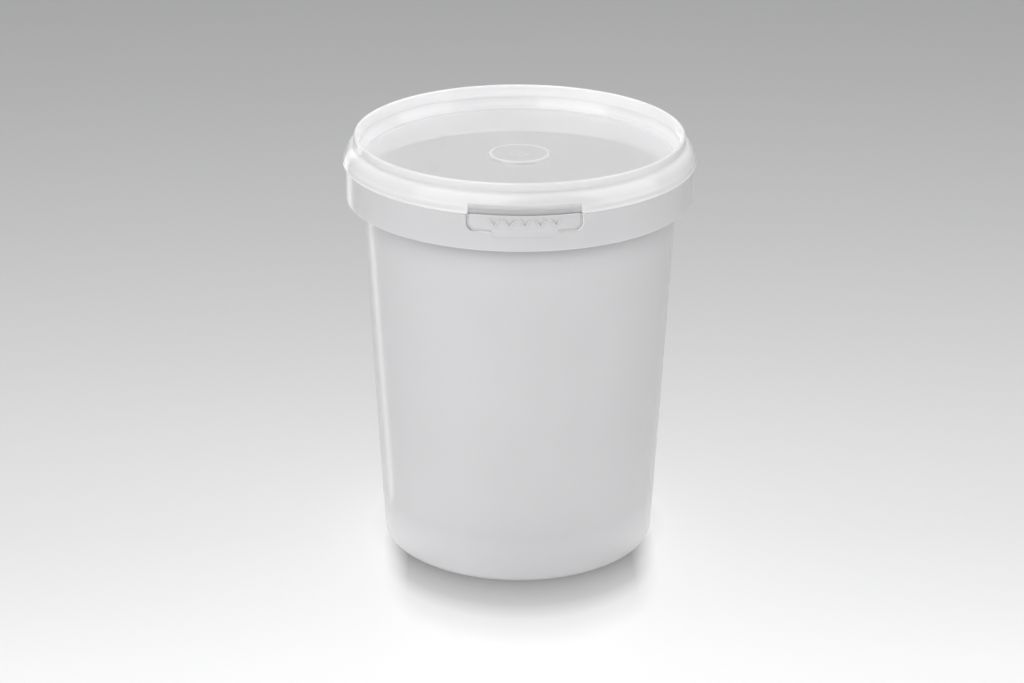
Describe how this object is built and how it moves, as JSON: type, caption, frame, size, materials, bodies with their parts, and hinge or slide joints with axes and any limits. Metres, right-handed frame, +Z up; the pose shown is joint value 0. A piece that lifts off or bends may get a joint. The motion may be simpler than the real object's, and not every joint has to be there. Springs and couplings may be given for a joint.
{
  "type": "press-on-lid tub",
  "caption": "Round tapered plastic tub with a press-on recessed lid and a fold-down tamper-evident opening tab in its collar.",
  "frame": {"origin": "centre of the foot ring, on the floor the tub stands on", "axes": "+Z up along the tub's axis; -Y out through the middle of the opening tab; +X to the right of someone facing the tab"},
  "size_m": [0.118, 0.1175, 0.1446],
  "materials": {
    "tub_plastic": "white injection-moulded polypropylene, soft gloss",
    "lid_plastic": "white injection-moulded polypropylene, glossy, slightly translucent where thin"
  },
  "bodies": {
    "tub": {"tub": "tub_plastic", "tab_hinge_web": "tub_plastic"},
    "lid": {"lid": "lid_plastic"},
    "tab": {"opening_tab": "tub_plastic", "break_bridge_left": "tub_plastic", "break_bridge_right": "tub_plastic"}
  },
  "joints": [
    {"name": "lid_lift", "type": "slide", "parent": "tub", "child": "lid", "axis": [0, 0, 1], "range_m": [0, 0.06]},
    {"name": "tab_fold", "type": "hinge", "parent": "tub", "child": "tab", "pos_m": [0, -0.05775, 0.129], "axis": [1, 0, 0], "range_deg": [0, 110]}
  ]
}
